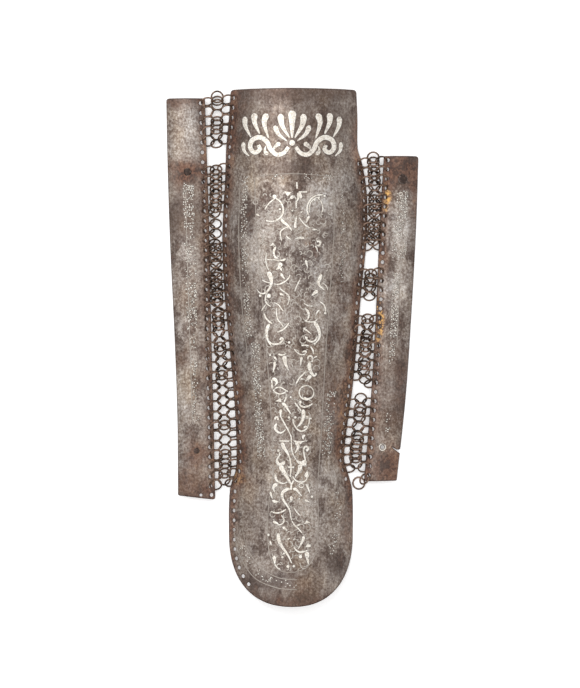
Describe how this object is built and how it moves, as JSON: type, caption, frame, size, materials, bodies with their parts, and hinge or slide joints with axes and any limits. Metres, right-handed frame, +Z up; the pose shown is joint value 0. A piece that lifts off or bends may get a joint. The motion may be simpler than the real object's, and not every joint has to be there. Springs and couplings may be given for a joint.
{
  "type": "leg armour greave",
  "caption": "Curved steel shin plate with a rounded tongue, and two narrow side plates joined to its long edges by strips of mail.",
  "frame": {"origin": "on the ground under the middle of the bounding box, as the greave lies on its hollow side", "axes": "+Y to the knee end, +X across to the short side plate, +Z up, out of the shin"},
  "size_m": [0.2058, 0.42, 0.031],
  "materials": {
    "plate_steel": "worn grey-brown steel with rust at the mailed edges and silver ornament",
    "rivet_steel": "dark worn steel",
    "mail_steel": "dark brown-grey steel wire"
  },
  "bodies": {
    "root": {"shin_plate": "plate_steel", "long_side_plate": "plate_steel", "short_side_plate": "plate_steel", "long_plate_upper_rivet": "rivet_steel", "long_plate_lower_rivet": "rivet_steel", "short_plate_upper_rivet": "rivet_steel", "long_mail_top": "mail_steel", "long_mail_main": "mail_steel", "short_mail_top": "mail_steel", "short_mail_upper": "mail_steel", "short_mail_middle": "mail_steel", "short_mail_lower": "mail_steel"}
  },
  "joints": []
}
